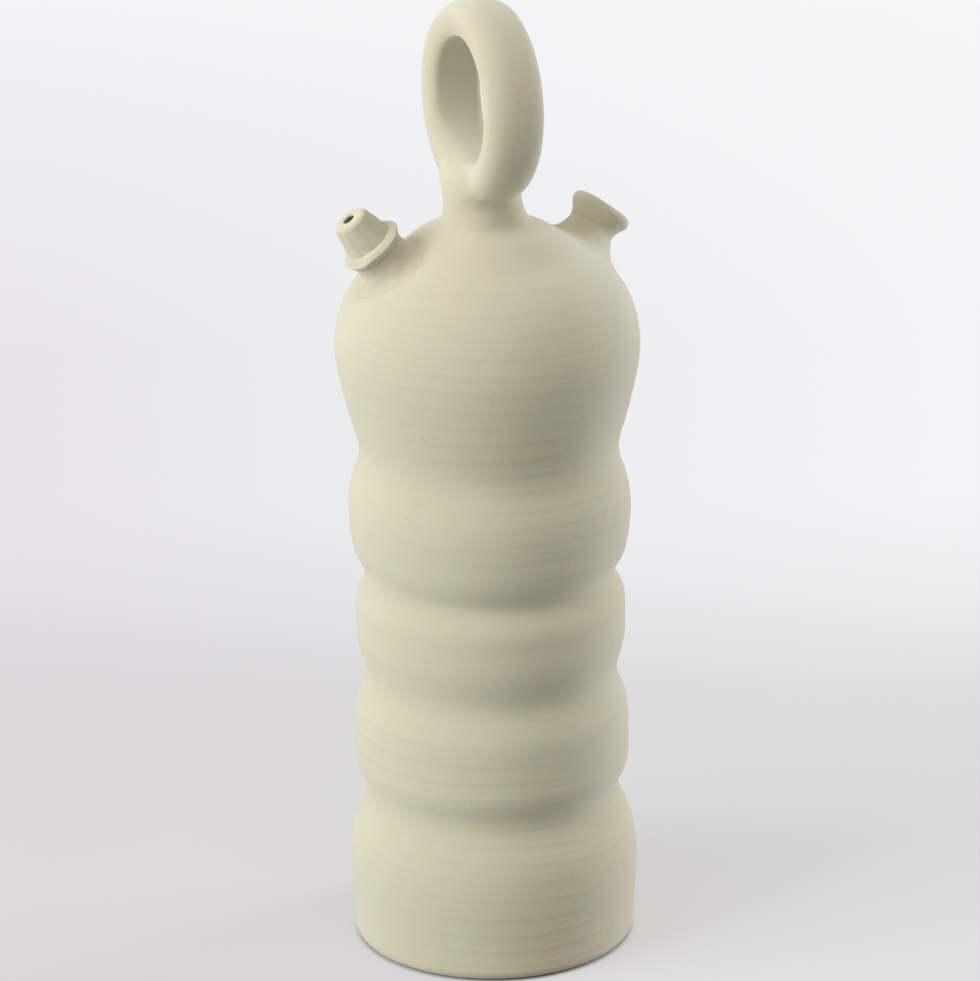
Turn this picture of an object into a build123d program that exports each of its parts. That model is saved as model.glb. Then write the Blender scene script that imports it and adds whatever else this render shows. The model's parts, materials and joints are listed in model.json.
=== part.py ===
"""Tall unglazed clay water jar with a ring handle, a filling mouth and a pouring spout.

The jar is one fired body that a potter joins from separately thrown pieces, so every
thrown piece and every pressed-on roll of clay is a solid of its own.  Millimetres, +Z up,
origin in the middle of the flat foot.  The spout leans to -X and slightly forward (-Y),
the mouth leans to +X and backward, and the ring stands between them.
"""

from build123d import *
from math import cos, radians, sin
import os

os.makedirs("parts", exist_ok=True)

# Wall of the thrown body.
wall = 6.5
floor_thickness = 9.0
floor_corner_radius = 10.0
foot_round = 5.0
base_radius = 64.6

# Crests and grooves of the side, from the foot up.
base_crest_radius = 66.0
base_crest_height = 38.0
first_groove_radius = 57.9
first_groove_height = 73.0
low_crest_radius = 62.5
low_crest_height = 97.0
second_groove_radius = 57.0
second_groove_height = 129.0
middle_crest_radius = 61.2
middle_crest_height = 154.0
third_groove_radius = 56.3
third_groove_height = 176.0
high_crest_radius = 63.9
high_crest_height = 207.0
seam_groove_radius = 58.4
seam_groove_height = 235.0
shoulder_radius = 68.25
shoulder_height = 283.0
neck_radius = 17.6
neck_height = 352.0

# How far each flank has swollen from its groove at even steps towards its crest, as shares.
base_flank_shares = (0.27, 0.71, 0.94)
low_under_flank_shares = (0.40, 0.91, 1.00)
low_over_flank_shares = (0.35, 0.84, 0.97)
middle_under_flank_shares = (0.30, 0.73, 0.97)
middle_over_flank_shares = (0.44, 0.92, 1.00)
high_under_flank_shares = (0.47, 0.81, 0.94)
high_over_flank_shares = (0.20, 0.62, 0.91)
shoulder_flank_shares = (0.27, 0.60, 0.87)

# Dome between shoulder and neck: shares of its radius span and of its height span.
dome_shares = ((0.843, 0.391), (0.640, 0.543), (0.442, 0.645), (0.245, 0.754), (0.126, 0.812),
               (0.037, 0.913))

# Where along the outer lines the inner wall is measured from them.
inset_steps = 24
first_inset_share = 0.05
dome_inset_shares = (0.12, 0.25, 0.40, 0.55, 0.70, 0.82)

# Stepped joint of the two thrown sections, in the top groove.
seam_tongue_height = 5.0
seam_tongue_wall = 3.2
seam_bevel = 1.6

# Ring handle: a thrown band, flat towards the fingers and round outside, pressed to an
# upright oval a little off the jar's axis.
handle_turn = -66.0
handle_half_span = 33.8
handle_half_height = 37.7
handle_thickness = 16.3
handle_width = 26.6
handle_flat_share = 0.6
handle_offset = -1.1
handle_bed_share = 0.25
handle_luting_radius = 13.6
handle_luting_rise = 6.6

# Pouring spout on the left of the dome, in a thrown collar.
spout_place_share = 0.543
spout_turn = 201.0
spout_tilt = 4.75
collar_neck_radius = 12.2
collar_neck_height = 11.0
collar_bore_radius = 5.4
collar_radius = 14.3
collar_thickness = 5.0
collar_edge_round = 1.4
collar_dish_depth = 0.5
cone_base_radius = 10.6
cone_tip_radius = 8.4
cone_tip_round = 1.6
cone_rise = 14.0
cone_spigot_depth = 8.9
pouring_bore_radius = 2.8
spout_luting_reach = 9.0
spout_luting_rise = 8.5
spout_luting_sink = 4.6

# Filling mouth on the right of the dome.
mouth_place_share = 0.463
mouth_turn = 35.0
mouth_tilt = 1.4
mouth_rise = 20.2
mouth_waist_radius = 10.4
mouth_waist_height = 9.1
mouth_lip_radius = 14.2
mouth_lip_height = 16.5
mouth_rim_radius = 12.5
mouth_bore_radius = 6.8
mouth_rim_bore_radius = 10.6
mouth_rim_bore_drop = 1.6
mouth_luting_reach = 12.0
mouth_luting_rise = 8.5
mouth_luting_sink = 5.2

# How far tools and feet run past the surfaces that they are cut at.
overrun = 12.0

neck_top_height = neck_height + handle_thickness * handle_bed_share
handle_centre_height = neck_top_height + handle_half_height


def flank(groove, crest, swell_shares):
    """Points at even steps from a groove to a crest, swollen by shares of the depth."""
    steps = len(swell_shares) + 1
    radius_gain = crest[0] - groove[0]
    height_gain = crest[1] - groove[1]
    return [(groove[0] + radius_gain * share, groove[1] + height_gain * (step + 1) / steps)
            for step, share in enumerate(swell_shares)]


def side_outline():
    """Outer line of the side, from the rounded foot up to the shoulder."""
    base_crest = (base_crest_radius, base_crest_height)
    first_groove = (first_groove_radius, first_groove_height)
    low_crest = (low_crest_radius, low_crest_height)
    second_groove = (second_groove_radius, second_groove_height)
    middle_crest = (middle_crest_radius, middle_crest_height)
    third_groove = (third_groove_radius, third_groove_height)
    high_crest = (high_crest_radius, high_crest_height)
    seam_groove = (seam_groove_radius, seam_groove_height)
    shoulder = (shoulder_radius, shoulder_height)
    points = [
        (base_radius, foot_round),
        base_crest,
        *reversed(flank(first_groove, base_crest, base_flank_shares)),
        first_groove,
        *flank(first_groove, low_crest, low_under_flank_shares),
        low_crest,
        *reversed(flank(second_groove, low_crest, low_over_flank_shares)),
        second_groove,
        *flank(second_groove, middle_crest, middle_under_flank_shares),
        middle_crest,
        *reversed(flank(third_groove, middle_crest, middle_over_flank_shares)),
        third_groove,
        *flank(third_groove, high_crest, high_under_flank_shares),
        high_crest,
        *reversed(flank(seam_groove, high_crest, high_over_flank_shares)),
        seam_groove,
        *flank(seam_groove, shoulder, shoulder_flank_shares),
        shoulder,
    ]
    return Spline(points, tangents=[(0, 1), (0, 1)])


def dome_outline():
    """Outer line of the dome, from the shoulder in to the neck."""
    radius_span = shoulder_radius - neck_radius
    height_span = neck_height - shoulder_height
    points = [(shoulder_radius, shoulder_height)]
    for radius_share, height_share in dome_shares:
        points.append((neck_radius + radius_span * radius_share,
                       shoulder_height + height_span * height_share))
    points.append((neck_radius, neck_height))
    return Spline(points, tangents=[(0, 1), (0, 1)])


side_line = side_outline()
dome_line = dome_outline()


def inset(line, share):
    """Point of the inner wall: one wall in, square to the outer line at that share."""
    place = line @ share
    run = line % share
    return (place.X - run.Y * wall, place.Y + run.X * wall)


def revolved(*lines):
    """Solid of revolution about Z, from lines that close a half section."""
    return revolve(Plane.XZ * make_face(Curve() + list(lines)), Axis.Z)


def outer_form():
    """The body as a filled solid, up to the top of the neck."""
    foot_edge = (base_radius - foot_round, 0)
    foot_arc = TangentArc(foot_edge, (base_radius, foot_round), tangent=(1, 0))
    neck_top = (neck_radius, neck_top_height)
    neck_side = Line((neck_radius, neck_height), neck_top)
    closing = Polyline(neck_top, (0, neck_top_height), (0, 0), foot_edge)
    return revolved(foot_arc, side_line, dome_line, neck_side, closing)


def cavity():
    """Hollow of the thrown body, one wall in from the outer lines."""
    step_share = (1 - first_inset_share) / inset_steps
    side_points = [inset(side_line, first_inset_share + step_share * step)
                   for step in range(inset_steps + 1)]
    dome_points = [inset(dome_line, share) for share in dome_inset_shares]
    low_radius, low_height = side_points[0]
    ceiling_height = dome_points[-1][1]
    floor_edge = (low_radius - floor_corner_radius, floor_thickness)
    corner = TangentArc(floor_edge, (low_radius, low_height), tangent=(1, 0))
    closing = Polyline(dome_points[-1], (0, ceiling_height), (0, floor_thickness), floor_edge)
    return revolved(corner, Spline(side_points + dome_points), closing)


def seam_tool():
    """Everything below the stepped seam: the lower section reaches up inside the groove."""
    tongue_radius = seam_groove_radius - wall + seam_tongue_wall
    tongue_height = seam_groove_height + seam_tongue_height
    reach = shoulder_radius + overrun
    return revolved(Polyline(
        (0, -overrun), (reach, -overrun), (reach, seam_groove_height),
        (tongue_radius + seam_bevel, seam_groove_height), (tongue_radius, tongue_height),
        (0, tongue_height), close=True))


def lean_frame(place_share, turn, tilt):
    """Plane on the dome whose Z runs out along a spout or mouth, tilted outward from square."""
    place = dome_line @ place_share
    run = dome_line % place_share
    outward = Vector(cos(turn), sin(turn), 0)
    upward = Vector(0, 0, 1)
    sideways = upward.cross(outward)
    square = outward * run.Y - upward * run.X
    axis = square * cos(tilt) + sideways.cross(square) * sin(tilt)
    return Plane(origin=outward * place.X + upward * place.Y, x_dir=sideways, z_dir=axis)


spout_frame = lean_frame(spout_place_share, radians(spout_turn), radians(spout_tilt))
mouth_frame = lean_frame(mouth_place_share, radians(mouth_turn), radians(mouth_tilt))


def bore(frame, radius):
    """Round hole through the dome along the axis of a spout or mouth."""
    return frame * Cylinder(radius, overrun + overrun)


def ring_section():
    """Face of the ring's section, whose X runs towards the ring's middle."""
    half_thickness = handle_thickness / 2
    half_width = handle_width / 2
    half_flat = half_width * handle_flat_share
    edge = half_width - half_flat
    inside = Line((half_thickness, -half_flat), (half_thickness, half_flat))
    one_corner = EllipticalCenterArc((0, half_flat), half_thickness, edge, 0, arc_size=90)
    outside = EllipticalCenterArc((0, 0), half_thickness, half_width, 90, arc_size=180)
    other_corner = EllipticalCenterArc((0, -half_flat), half_thickness, edge, 270, arc_size=90)
    return make_face([inside, one_corner, outside, other_corner])


def handle_ring():
    """Closed oval ring, swept round the middle line of its band."""
    turn = radians(handle_turn)
    plane = Plane(origin=(handle_offset, 0, handle_centre_height),
                  x_dir=(cos(turn), sin(turn), 0), z_dir=(sin(turn), -cos(turn), 0))
    path = Ellipse(handle_half_span, handle_half_height).edge()
    start = Plane(origin=(handle_half_span, 0), x_dir=(-1, 0, 0), z_dir=(0, 1, 0))
    return plane * sweep(start * ring_section(), path=path)


def handle_luting():
    """Wads of clay that carry the neck's outline up both faces of the ring."""
    top_height = neck_top_height + handle_luting_rise
    flank = Spline((neck_radius, neck_top_height), (handle_luting_radius, top_height),
                   tangents=[(0, 1), (-1, 1)])
    closing = Polyline((handle_luting_radius, top_height), (0, top_height),
                       (0, neck_top_height), (neck_radius, neck_top_height))
    return revolved(flank, closing)


def spout_collar():
    """Short thrown neck with a thick collar, which carries the pouring cone."""
    lip_radius = collar_radius - collar_edge_round
    top_height = collar_neck_height + collar_thickness
    dish_height = top_height - collar_dish_depth
    low_edge = TangentArc((lip_radius, collar_neck_height),
                          (collar_radius, collar_neck_height + collar_edge_round), tangent=(1, 0))
    high_edge = TangentArc((collar_radius, top_height - collar_edge_round),
                           (lip_radius, top_height), tangent=(0, 1))
    dish = Spline((lip_radius, top_height), (cone_base_radius, dish_height),
                  tangents=[(-1, 0), (-1, 0)])
    closing = Polyline((cone_base_radius, dish_height), (collar_bore_radius, dish_height),
                       (collar_bore_radius, -overrun), (collar_neck_radius, -overrun),
                       (collar_neck_radius, collar_neck_height), (lip_radius, collar_neck_height))
    return spout_frame * revolved(low_edge, Line(low_edge @ 1, high_edge @ 0), high_edge, dish,
                                  closing)


def pouring_spout():
    """Cone with a rounded tip and a fine bore, its spigot down in the collar."""
    dish_height = collar_neck_height + collar_thickness - collar_dish_depth
    tip_height = collar_neck_height + collar_thickness + cone_rise
    spigot_height = dish_height - cone_spigot_depth
    side = Line((cone_base_radius, dish_height), (cone_tip_radius, tip_height - cone_tip_round))
    tip = TangentArc((cone_tip_radius - cone_tip_round, tip_height), side @ 1, tangent=(1, 0))
    closing = Polyline(tip @ 0, (pouring_bore_radius, tip_height),
                       (pouring_bore_radius, spigot_height), (collar_bore_radius, spigot_height),
                       (collar_bore_radius, dish_height), side @ 0)
    return spout_frame * revolved(side, tip, closing)


def filling_mouth():
    """Trumpet with a rolled lip and an open throat."""
    waist = (mouth_waist_radius, mouth_waist_height)
    lip = (mouth_lip_radius, mouth_lip_height)
    rim_bore = (mouth_rim_bore_radius, mouth_rise - mouth_rim_bore_drop)
    throat = (mouth_bore_radius, mouth_waist_height)
    flare = Spline(waist, lip, tangents=[(1, 2), (0, 1)])
    rim = Spline(lip, (mouth_rim_radius, mouth_rise), rim_bore, tangents=[(0, 1), (0, -1)])
    funnel = Spline(rim_bore, throat, tangents=[(0, -1), (0, -1)])
    closing = Polyline(throat, (mouth_bore_radius, -overrun), (mouth_waist_radius, -overrun), waist)
    return mouth_frame * revolved(flare, rim, funnel, closing)


def foot_luting(frame, foot_radius, reach, rise, sink):
    """Hollow-flanked skirt of clay that runs from a foot down into the dome."""
    edge = (foot_radius + reach, -sink)
    flank = Spline((foot_radius, rise), edge, tangents=[(0, -1), (1, -1)])
    closing = Polyline(edge, (foot_radius + reach, -overrun), (foot_radius, -overrun),
                       (foot_radius, rise))
    return frame * revolved(flank, closing)


def jar():
    """Every piece by name, each cut where it seats on its neighbour."""
    body = outer_form()
    below_seam = seam_tool()
    shell = body - cavity()
    ring = handle_ring()
    spout_hole = bore(spout_frame, collar_bore_radius)
    mouth_hole = bore(mouth_frame, mouth_bore_radius)
    spout_roll = foot_luting(spout_frame, collar_neck_radius, spout_luting_reach,
                             spout_luting_rise, spout_luting_sink)
    mouth_roll = foot_luting(mouth_frame, mouth_waist_radius, mouth_luting_reach,
                             mouth_luting_rise, mouth_luting_sink)
    return {
        "lower_body": shell & below_seam,
        "upper_body": shell - below_seam - ring - spout_hole - mouth_hole,
        "handle_ring": ring,
        "handle_luting": handle_luting() - ring,
        "spout_collar": spout_collar() - body,
        "spout_luting": spout_roll - body,
        "pouring_spout": pouring_spout(),
        "filling_mouth": filling_mouth() - body,
        "mouth_luting": mouth_roll - body,
    }


for name, piece in jar().items():
    export_step(piece, f"parts/{name}.step")
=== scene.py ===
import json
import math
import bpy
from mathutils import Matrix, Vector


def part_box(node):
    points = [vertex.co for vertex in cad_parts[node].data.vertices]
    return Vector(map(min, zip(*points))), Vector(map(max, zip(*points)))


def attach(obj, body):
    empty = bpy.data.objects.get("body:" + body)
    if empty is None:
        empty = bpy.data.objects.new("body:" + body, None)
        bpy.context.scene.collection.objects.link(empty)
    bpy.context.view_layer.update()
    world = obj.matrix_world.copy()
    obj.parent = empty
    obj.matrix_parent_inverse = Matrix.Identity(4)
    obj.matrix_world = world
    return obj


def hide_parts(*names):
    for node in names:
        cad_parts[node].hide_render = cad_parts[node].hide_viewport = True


bl_info = {
    "name": "Clay water jar",
    "version": (1, 0, 0),
    "blender": (4, 5, 0),
    "location": "View3D > Sidebar > Clay jar",
    "description": "Builds an unglazed clay water jar with a ring handle, a mouth and a spout",
    "category": "Object",
}

import bpy
import numpy as np
from bpy.props import FloatProperty, FloatVectorProperty, IntProperty, PointerProperty
from mathutils import Matrix, Vector

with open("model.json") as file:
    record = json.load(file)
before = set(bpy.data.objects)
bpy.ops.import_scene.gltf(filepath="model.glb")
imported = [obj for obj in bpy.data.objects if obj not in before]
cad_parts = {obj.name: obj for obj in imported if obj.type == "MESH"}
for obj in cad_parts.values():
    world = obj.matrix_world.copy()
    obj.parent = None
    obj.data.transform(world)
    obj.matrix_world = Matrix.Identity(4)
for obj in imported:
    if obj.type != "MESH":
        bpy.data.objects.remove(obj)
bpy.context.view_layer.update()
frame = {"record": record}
MM = 0.001

RING_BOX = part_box("handle_ring")
RING_CENTRE_HEIGHT = (RING_BOX[0].z + RING_BOX[1].z) / 2
RING_REACH = (RING_BOX[1].z - RING_BOX[0].z) / 2
MOUNTS = {mount["name"]: mount for mount in frame["record"]["mounts"]}


# Kinds of property. Sizes are written in millimetres and angles in degrees.


def size_prop(name, description, size):
    """A length."""
    return FloatProperty(name=name, description=description, default=size * MM, unit="LENGTH")


def sizes_prop(name, description, *sizes):
    """Several lengths of one kind."""
    return FloatVectorProperty(name=name, description=description, size=len(sizes),
                               default=tuple(size * MM for size in sizes), unit="LENGTH")


def angle_prop(name, description, degrees):
    """An angle."""
    return FloatProperty(name=name, description=description, default=math.radians(degrees),
                         subtype="ANGLE")


def share_prop(name, description, share):
    """A share of one."""
    return FloatProperty(name=name, description=description, default=share, min=0.0, max=1.0)


def colour_prop(name, description, *colour):
    """A colour."""
    return FloatVectorProperty(name=name, description=description, size=3, subtype="COLOR",
                               default=colour, min=0.0, max=1.0)


# Sizes and colours that a user would change.


class JarBodySizes(bpy.types.PropertyGroup):
    """Outline and wall of the thrown body."""

    base_radius: size_prop("Base radius", "Radius just above the rounded foot", 64.6)
    foot_round: size_prop("Foot round", "Rounding of the foot's edge", 5.0)
    crest_radii: sizes_prop(
        "Crest radii", "Radius of each swelling, from the foot up", 66.0, 62.5, 61.2, 63.9, 68.0)
    crest_heights: sizes_prop(
        "Crest heights", "Height of each swelling's crest", 38.0, 97.0, 154.0, 207.0, 283.0)
    groove_radii: sizes_prop(
        "Groove radii", "Radius in each groove, from the foot up", 57.9, 57.0, 56.3, 58.4)
    groove_heights: sizes_prop(
        "Groove heights", "Height of each groove", 73.0, 129.0, 176.0, 235.0)
    neck_radius: size_prop("Neck radius", "Radius of the neck at its narrowest", 16.9)
    neck_lean: size_prop("Neck lean", "How far the neck leans towards the spout's side", 1.3)
    neck_height: size_prop("Neck height", "Height of the neck's narrowest place", 352.0)
    cap_height: size_prop("Cap height", "Height of the clay cap that closes the neck", 362.0)
    wall: size_prop("Wall", "Thickness of the thrown wall", 6.5)
    floor_thickness: size_prop("Floor", "Thickness of the floor", 9.0)
    turns: IntProperty(
        name="Segments", description="Segments round the thrown pieces", default=288)


class JarHandleSizes(bpy.types.PropertyGroup):
    """Ring handle and the clay that joins it to the neck."""

    turn: angle_prop("Turn", "Direction of the ring's near limb round the jar's axis", -66.0)
    half_span: size_prop("Half span", "Half the ring's width at the middle of its band", 33.8)
    thickness: size_prop("Thickness", "Band thickness in the ring's plane", 16.3)
    width: size_prop("Width", "Band width across the ring's plane", 26.6)
    flat_share: FloatProperty(
        name="Flat share", description="Share of the width that is flat towards the fingers",
        default=0.60, min=0.0, max=0.95)
    smeared_flat_share: FloatProperty(
        name="Smeared flat share", description="The same share where the ring meets the neck",
        default=0.15, min=0.05, max=0.95)
    crown_drop: size_prop("Crown drop", "How far the top of the ring is pressed down", 0.8)
    rest_thickness: size_prop(
        "Finger rest", "Extra clay smoothed into the bottom of the ring", 5.0)
    offset: size_prop("Offset", "How far the ring stands off the jar's axis", -1.1)
    side_blend: size_prop("Side blend", "Reach of the smoothed clay on the neck's far side", 9.5)
    front_blend: size_prop("Front blend", "Reach of the pinched clay under the near limb", 3.2)


class JarSpoutSizes(bpy.types.PropertyGroup):
    """Pouring cone, its collar and the clay round its foot."""

    foot_radius: size_prop("Foot radius", "Radius of the collar's neck on the dome", 12.2)
    foot_height: size_prop("Foot height", "From the dome up to the collar's underside", 10.8)
    collar_radius: size_prop("Collar radius", "Outer radius of the thick collar", 14.3)
    collar_thickness: size_prop("Collar thickness", "Height of the collar's side", 5.0)
    edge_height: size_prop(
        "Edge height", "From the collar's underside up to its widest place", 2.6)
    dish_depth: size_prop("Dish depth", "How far the collar's top sinks towards the cone", 0.15)
    cone_base_radius: size_prop(
        "Cone base radius", "Radius of the cone where it leaves the dish", 10.6)
    cone_tip_radius: size_prop("Cone tip radius", "Radius of the cone under its rounded tip", 8.4)
    cone_rise: size_prop("Cone rise", "From the collar's top to the cone's tip", 14.0)
    tip_round: size_prop("Tip round", "Rounding of the cone's tip", 2.2)
    bore_radius: size_prop("Bore radius", "Radius of the drinking hole in the cone's tip", 2.8)
    bore_rim: size_prop("Bore rim", "Thickness of the pierced tip, over the cone's hollow", 0.9)
    seat_radius: size_prop(
        "Seat radius", "Radius of the collar's bore, where the cone is seated", 5.4)
    seat_depth: size_prop("Seat depth", "How deep the cone's spigot goes into the collar", 8.9)
    blend: size_prop("Blend", "Reach of the smoothed clay round the foot", 8.5)


class JarMouthSizes(bpy.types.PropertyGroup):
    """Filling mouth and the clay round its foot."""

    rise: size_prop("Rise", "From the dome to the rim", 20.2)
    waist_radius: size_prop("Waist radius", "Outer radius at the mouth's narrowest", 10.4)
    waist_height: size_prop("Waist height", "From the dome up to the narrowest place", 9.1)
    lip_radius: size_prop("Lip radius", "Outer radius of the rolled lip", 14.2)
    lip_height: size_prop("Lip height", "From the dome up to the widest place of the lip", 17.6)
    rim_radius: size_prop("Rim radius", "Radius along the top of the rim", 12.8)
    rim_bore_radius: size_prop("Rim bore radius", "Radius of the opening just under the rim", 10.6)
    rim_bore_drop: size_prop("Rim bore drop", "From the rim down to that place", 1.6)
    bore_radius: size_prop("Bore radius", "Radius of the throat", 6.8)
    blend: size_prop("Blend", "Reach of the smoothed clay on the foot's lower side", 16.0)
    back_blend: size_prop(
        "Back blend", "Reach of the smoothed clay on the foot's upper side", 13.5)


class JarClay(bpy.types.PropertyGroup):
    """Colour and grain of the unglazed clay, and the traces of the potter's hands."""

    colour: colour_prop("Clay", "Main colour of the fired clay", 0.660, 0.622, 0.470)
    warm_colour: colour_prop("Warm patches", "Colour of the warmer patches", 0.670, 0.615, 0.445)
    # Painted shade: the colour that the finest scratches and the open pits take for the shade
    # inside them.
    mark_shade_colour: colour_prop(
        "Painted shade in marks", "Colour in the finest scratches and pits", 0.420, 0.380, 0.260)
    roughness: share_prop("Roughness", "Roughness of the dry clay", 0.88)
    wobble: size_prop("Wobble", "How far hand work leaves the pieces out of true", 0.30)
    ridge: size_prop("Ridges", "Height of the soft throwing ridges", 0.10)


class JarStage(bpy.types.PropertyGroup):
    """Camera, lamps and floor."""

    camera_distance: FloatProperty(
        name="Camera distance", description="From the aim point to the camera",
        default=2.0259, unit="LENGTH")
    camera_elevation: angle_prop("Camera elevation", "How far the camera looks down", 19.124)
    camera_roll: angle_prop("Camera roll", "Turn of the camera about its own view", -0.697)
    camera_aim: FloatVectorProperty(
        name="Camera aim", description="Point that the camera looks at", size=3,
        default=(0.29 * MM, 0.0, 213.1 * MM), unit="LENGTH", subtype="TRANSLATION")
    lens: FloatProperty(
        name="Lens", description="Focal length in millimetres on a 36 mm sensor", default=165.14)
    floor_span: FloatProperty(
        name="Floor span", description="Side of the square floor",
        default=40.0, unit="LENGTH")
    floor_colour: colour_prop("Floor", "Colour of the floor near the jar", 0.60, 0.58, 0.575)
    glow_share: share_prop(
        "Floor glow", "Share of even brightness in the floor that the camera sees", 0.45)
    bounce_colour: colour_prop(
        "Floor bounce", "Colour of the light that the floor gives back", 0.33, 0.32, 0.315)
    left_colour: colour_prop(
        "Backdrop left", "What the camera sees behind the jar on the left", 0.805, 0.787, 0.815)
    right_colour: colour_prop(
        "Backdrop right", "What the camera sees behind the jar on the right", 0.896, 0.896, 0.913)
    far_colour: colour_prop(
        "Far backdrop", "What the camera sees farthest from the jar", 0.940, 0.937, 0.950)
    key_power: FloatProperty(
        name="Key lamp", description="Power of the large soft lamp on the left, in watts",
        default=26.2)
    rim_power: FloatProperty(
        name="Rim lamp", description="Power of the lamp behind on the right, in watts",
        default=26.5)
    top_power: FloatProperty(
        name="Top lamp", description="Power of the lamp overhead, in watts", default=6.5)
    fill_strength: FloatProperty(
        name="Fill", description="Strength of the even light from all round", default=0.40)


# Shares that shape the outlines, in the order of the pieces they shape.

BASE_FLANK_SHARES = (0.27, 0.71, 0.94)
UNDER_FLANK_SHARES = ((0.40, 0.91, 1.00), (0.30, 0.73, 0.97), (0.47, 0.81, 0.94),
                      (0.27, 0.60, 0.87))
OVER_FLANK_SHARES = ((0.35, 0.84, 0.97), (0.44, 0.92, 1.00), (0.20, 0.62, 0.91))
DOME_SHARES = ((0.843, 0.391), (0.640, 0.543), (0.442, 0.645), (0.245, 0.751), (0.130, 0.792),
               (0.062, 0.825), (0.018, 0.900))
MOUTH_FLARE_SHARES = ((0.395, 0.444), (0.730, 0.706))

# Meshes: spacing of shown and of hidden rows, fineness of curves and tables, sharp edges.
ROW_SPACING = 0.7 * MM
HIDDEN_SPACING = 3.0 * MM
CURVE_STEPS = 40
QUARTER_STEPS = 24
TABLE_STEP = 0.25 * MM
SHARP_ANGLE = math.radians(42.0)

# Pressed clay: its net, its thinnest edge and how deep it lies in its neighbours.
NET_STEP = 0.6 * MM
FEATHER = 0.03 * MM
BED = 0.5 * MM

# Each joint: direction of change in the piece's frame, its span, and unevenness at both ends.
JOINTS = {"ring_clay": ((0.6, 0.0, -0.8), (-9.0 * MM, 7.0 * MM), (0.02, 0.14)),
          "mouth_clay": ((-0.7, -0.7, 0.0), (-10.0 * MM, 8.0 * MM), (0.01, 0.01)),
          "spout_clay": ((1.0, 0.0, 0.0), (-10.0 * MM, 10.0 * MM), (0.05, 0.05))}

# Traces of the hand: wavelengths and seeds, and where on a piece each of them sets in.
WOBBLE_WAVE = 0.13
FREE_HEIGHT = 12.0 * MM
LIFT_SHARE = 0.3
THROWN_FROM, THROWN_OVER = 24.0 * MM, 20.0 * MM
RIDGE_SPACING = 8.0 * MM
FINGER_WAVE = 8.0 * MM
MOST_RIPPLE = 1.6
FINGERED_FROM, FINGERED_OVER = 4.0 * MM, 8.0 * MM
SEEDS = {"wobble": 31, "climb": 41, "strength": 43, "ring_clay": 57, "mouth": 61,
         "mouth_clay": 63, "spout_clay": 67, "spout": 71, "flats": 73}

# Body: start of the neck's lean, share of the neck that is capped flat, gap left at the seam,
# corner and start of the inner wall over the floor, and start of the dome's field.
LEAN_START = 328.0 * MM
CAP_SHARE = 0.86
SEAM_GAP = 0.2 * MM
FLOOR_CORNER = 12.0 * MM
INNER_START = 15.0 * MM
FIELD_START = 5.0 * MM

# Ring: powers that crispen its section, and where its far foot and its finger rest lie.
OUTSIDE_POWER = 0.88
FAR_CRISPNESS = 0.22
SMEAR_BELOW, SMEAR_OVER, SMEAR_BESIDE = 0.26, 0.34, 0.45
REST_MIDDLE, REST_HALF_REACH = math.radians(-108.0), math.radians(64.0)

# Mouth and spout: segments round them, depth of their feet, drill for their holes, flats on
# the cone, and how far from the dome the frame's mounts lie.
FITTING_TURNS = 160
FOOT_DEPTH = 8.0 * MM
DRILL_LOW, DRILL_HIGH, DRILL_TURNS = -45.0 * MM, 30.0 * MM, 64
PARED_CUTS, PARED_DEPTH, PARED_FROM = 11, 0.45 * MM, 0.6
MOUTH_OUT, SPOUT_OUT = 1.0 * MM, 18.3 * MM

# Looks: shares of throwing lines and of grain in each clay, and the depth of its relief.
CLAYS = {"Thrown clay": (0.8, 0.6), "Rolled clay": (0.0, 0.9), "Thrown mouth clay": (1.0, 0.6),
         "Thrown spout clay": (1.0, 0.6), "Pressed clay": (0.3, 1.0)}
RELIEF_DEPTH = 0.35 * MM

# Lamps: property of their power, place, size and colour. All face one point on the jar.
LAMPS = {"Key lamp": ("key_power", (-1.40, -0.71, 0.87), 1.2, (0.94, 0.97, 1.0)),
         "Rim lamp": ("rim_power", (1.47, 0.62, 0.36), 0.82, (0.95, 0.96, 1.0)),
         "Top lamp": ("top_power", (-0.10, -0.55, 1.85), 1.0, (1.0, 1.0, 1.0))}
LAMP_AIM = Vector((0.0, 0.0, 0.22))

# Floor: the dark line under the foot, and where it turns into the backdrop behind the jar.
LINE_FROM, LINE_TO = -2.0 * MM, 0.5 * MM
BACK_FLOOR = (0.0, 0.62)
FAR_FLOOR = (0.9, 2.4)

# More than any distance on the jar.
FAR = 1e9


# Lines, turned meshes and fields.


def eased(share):
    """Smooth step from 0 to 1."""
    share = np.clip(share, 0.0, 1.0)
    return share * share * (3.0 - 2.0 * share)


def smooth_line(points, spacing, start, end):
    """Evenly spaced points on the cubic line through points, leaving and ending as told."""
    points = np.array(points, float)
    chords = np.linalg.norm(np.diff(points, axis=0), axis=1)
    count = len(points)
    matrix = np.eye(count)
    right = np.zeros_like(points)
    right[0], right[-1] = start, end
    for i in range(1, count - 1):
        before, after = chords[i - 1], chords[i]
        matrix[i, i - 1:i + 2] = after, 2 * (before + after), before
        right[i] = 3 * (after * (points[i] - points[i - 1]) / before
                        + before * (points[i + 1] - points[i]) / after)
    slopes = np.linalg.solve(matrix, right)
    fine = []
    for i, chord in enumerate(chords):
        share = np.linspace(0.0, 1.0, CURVE_STEPS, endpoint=False)[:, None]
        square, cube = share ** 2, share ** 3
        fine.append((2 * cube - 3 * square + 1) * points[i]
                    + (cube - 2 * square + share) * chord * slopes[i]
                    + (3 * square - 2 * cube) * points[i + 1]
                    + (cube - square) * chord * slopes[i + 1])
    fine = np.vstack(fine + [points[-1:]])
    return even(fine, spacing)


def even(line, spacing):
    """The same line with evenly spaced points."""
    steps = np.linalg.norm(np.diff(line, axis=0), axis=1)
    run = np.concatenate(([0.0], np.cumsum(steps)))
    count = max(2, int(round(run[-1] / spacing)) + 1)
    places = np.linspace(0.0, run[-1], count)
    return np.stack([np.interp(places, run, line[:, k]) for k in range(line.shape[1])], axis=1)


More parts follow.
